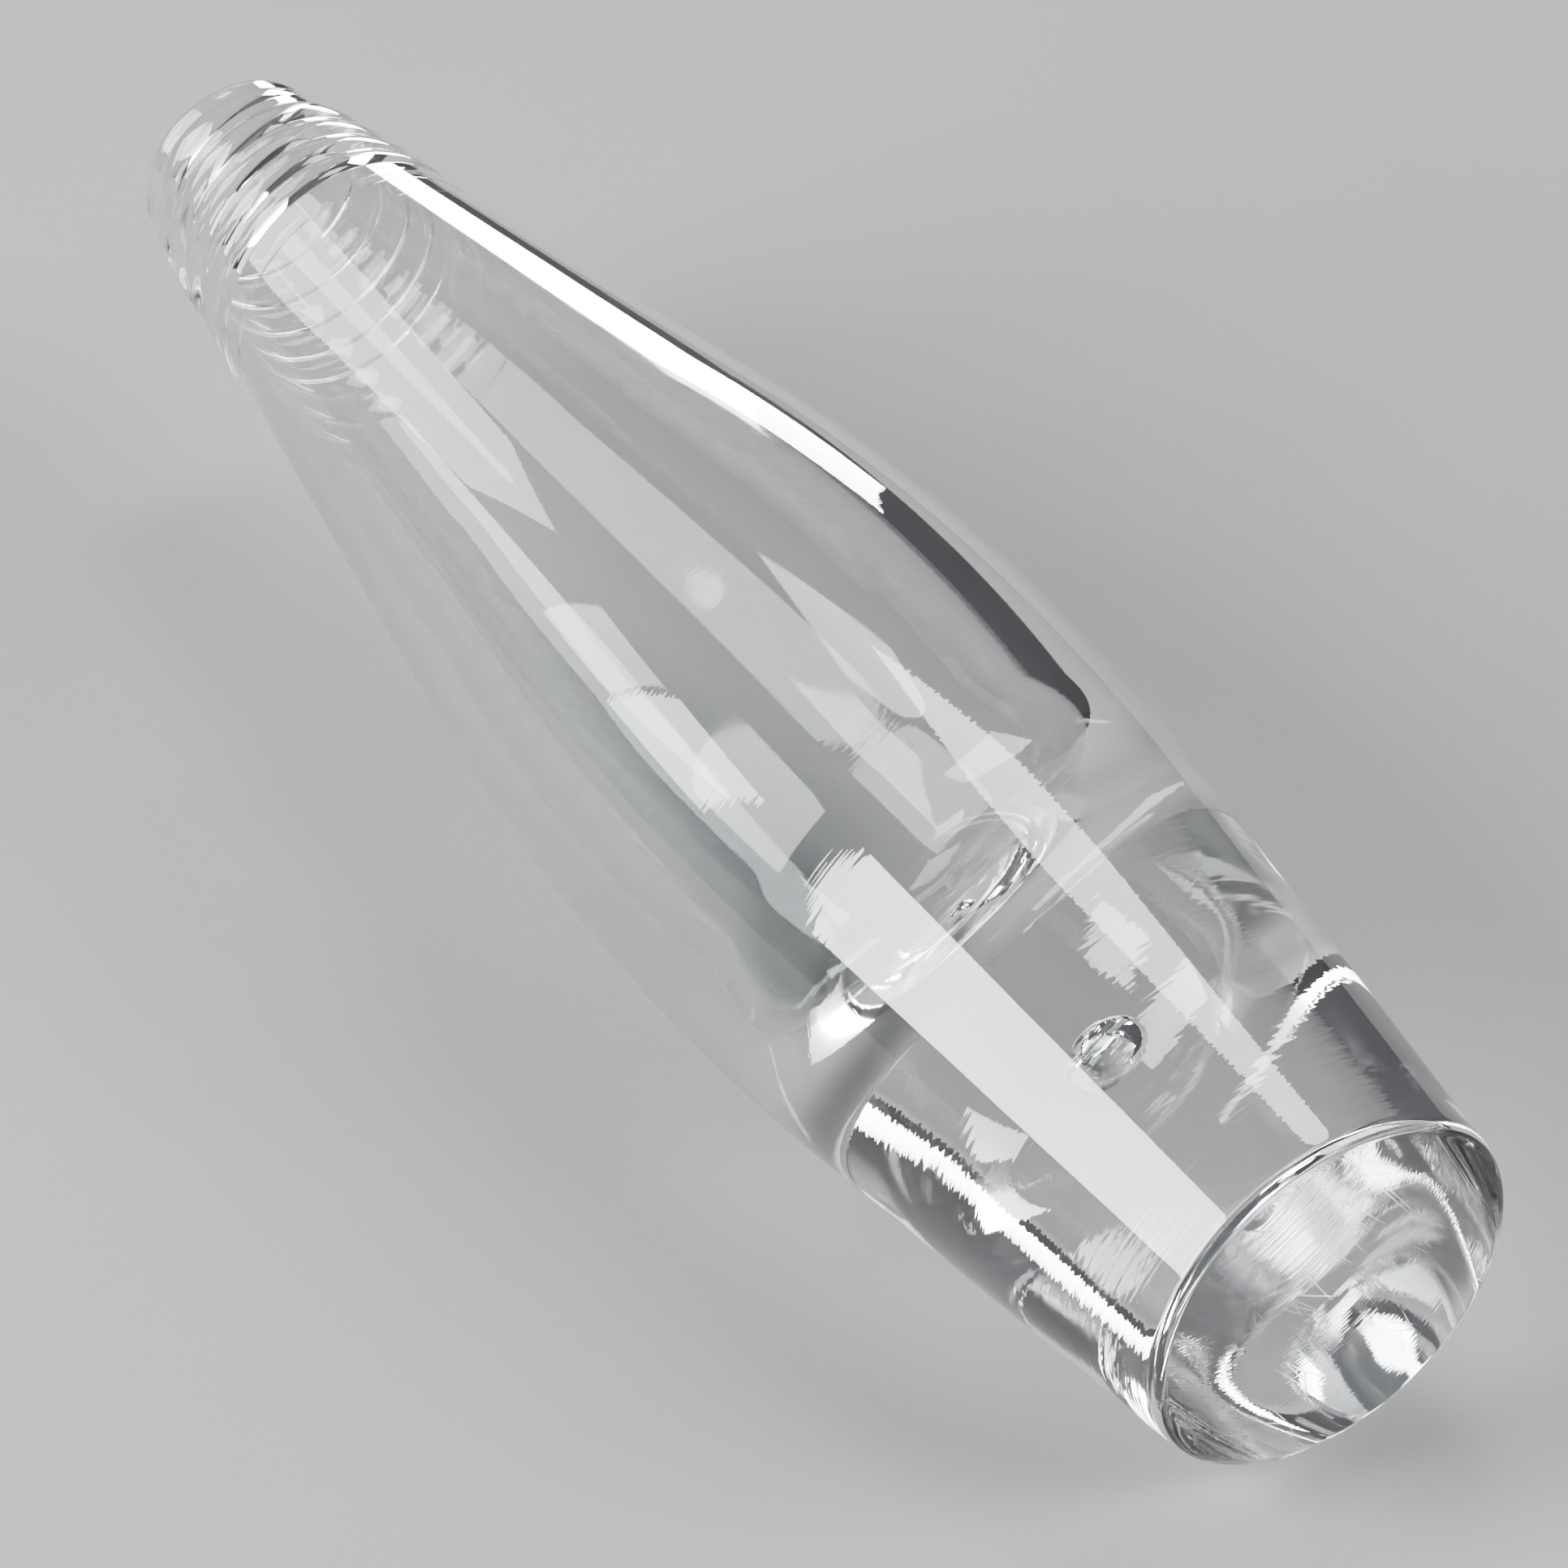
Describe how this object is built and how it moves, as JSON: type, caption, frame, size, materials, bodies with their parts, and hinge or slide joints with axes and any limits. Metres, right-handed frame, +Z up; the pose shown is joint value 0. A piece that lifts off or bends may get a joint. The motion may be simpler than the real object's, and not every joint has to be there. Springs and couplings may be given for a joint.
{
  "type": "glass vase",
  "caption": "Tall thick-walled clear crystal vase with a solid foot, an air cavity, a narrow mouth and a glass trail wound round the neck.",
  "frame": {"origin": "centre of the flat base face that the vase stands on", "axes": "+Z up along the vase's axis to the mouth; +X and +Y fix only the place of the bubble and of the neck trail's ends"},
  "size_m": [0.0818, 0.0818, 0.3],
  "materials": {
    "foot_crystal": "polished, with fine rings from cutting and a scratched base face",
    "vessel_crystal": "fire-polished",
    "trail_crystal": "fire-polished"
  },
  "bodies": {
    "root": {"solid_foot": "foot_crystal", "vessel": "vessel_crystal", "neck_trail": "trail_crystal"}
  },
  "joints": []
}
